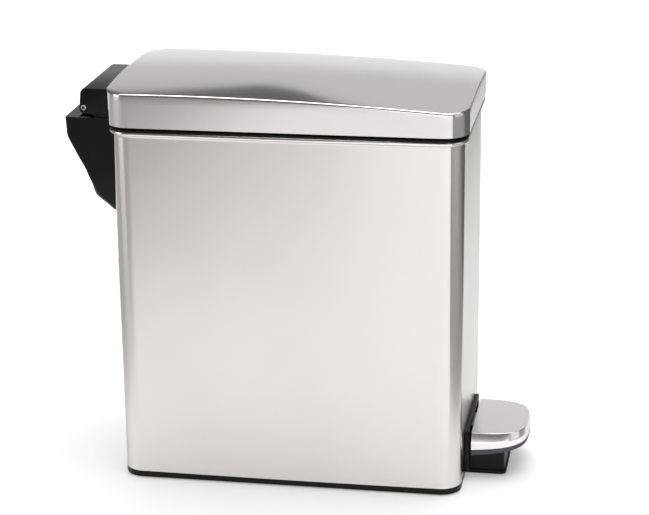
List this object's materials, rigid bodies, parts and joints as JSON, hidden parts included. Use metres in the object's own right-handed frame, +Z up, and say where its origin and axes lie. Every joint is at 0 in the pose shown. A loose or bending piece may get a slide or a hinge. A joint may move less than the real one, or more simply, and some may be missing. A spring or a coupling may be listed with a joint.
{
  "type": "pedal trash can",
  "caption": "Slim rectangular steel pedal bin with an arched hinged lid, a foot pedal at one narrow end and a black hinge housing at the other.",
  "frame": {"origin": "on the floor, under the middle of the whole bin's box", "axes": "+X from the hinge to the pedal, +Y across the narrow width, +Z up"},
  "size_m": [0.3752, 0.167, 0.331],
  "materials": {
    "brushed_steel": "satin brushed stainless sheet",
    "polished_steel": "smooth satin stainless pressing",
    "zinc_plate": "zinc plated steel plate and bar",
    "fasteners": "plated screws, rivets and pins",
    "black_plastic": "moulded black polypropylene, fine texture",
    "grey_plastic": "moulded dark grey polypropylene",
    "white_nylon": "natural nylon bushes and clips",
    "rubber": "soft rubber pads"
  },
  "bodies": {
    "bin": {"body_shell": "brushed_steel", "base_tray": "black_plastic", "rubber_feet": "rubber", "top_collar": "black_plastic", "lid_bumpers": "rubber", "pedal_bezel": "black_plastic", "inner_bucket": "grey_plastic", "hinge_bracket": "zinc_plate", "bracket_rivets": "fasteners", "rear_cover": "black_plastic", "cover_screws": "fasteners", "hinge_pin": "fasteners", "hinge_bushes": "white_nylon", "rod_guide": "white_nylon", "guide_rivets": "fasteners", "damper_cylinder": "grey_plastic", "damper_clips": "white_nylon", "pedal_axle": "zinc_plate", "axle_clips": "fasteners"},
    "lid": {"lid_shell": "polished_steel", "lid_liner": "grey_plastic", "lid_lever": "zinc_plate", "lid_screws": "fasteners", "hinge_cap": "black_plastic", "cap_screws": "fasteners"},
    "push_rod": {"push_rod": "zinc_plate", "link_pins": "fasteners", "rod_yoke": "white_nylon", "damper_piston": "fasteners"},
    "pedal": {"pedal_lever": "zinc_plate", "axle_spacers": "white_nylon", "pedal_core": "black_plastic", "pedal_cover": "polished_steel", "pedal_screws": "fasteners"}
  },
  "joints": [
    {"name": "lid_hinge", "type": "hinge", "parent": "bin", "child": "lid", "pos_m": [-0.17185, 0, 0.3048], "axis": [0, -1, 0], "range_deg": [0, 75]},
    {"name": "rod_lift", "type": "slide", "parent": "bin", "child": "push_rod", "axis": [0, 0, 1], "range_m": [0, 0.02609]},
    {"name": "pedal_press", "type": "hinge", "parent": "bin", "child": "pedal", "pos_m": [0.07765, 0, 0.0254], "axis": [0, 1, 0], "range_deg": [0, 7.06]}
  ],
  "couplings": [
    {"joint": "rod_lift", "follows": "lid_hinge", "m_per_rad": 0.019931},
    {"joint": "pedal_press", "follows": "lid_hinge", "ratio": 0.094072}
  ]
}
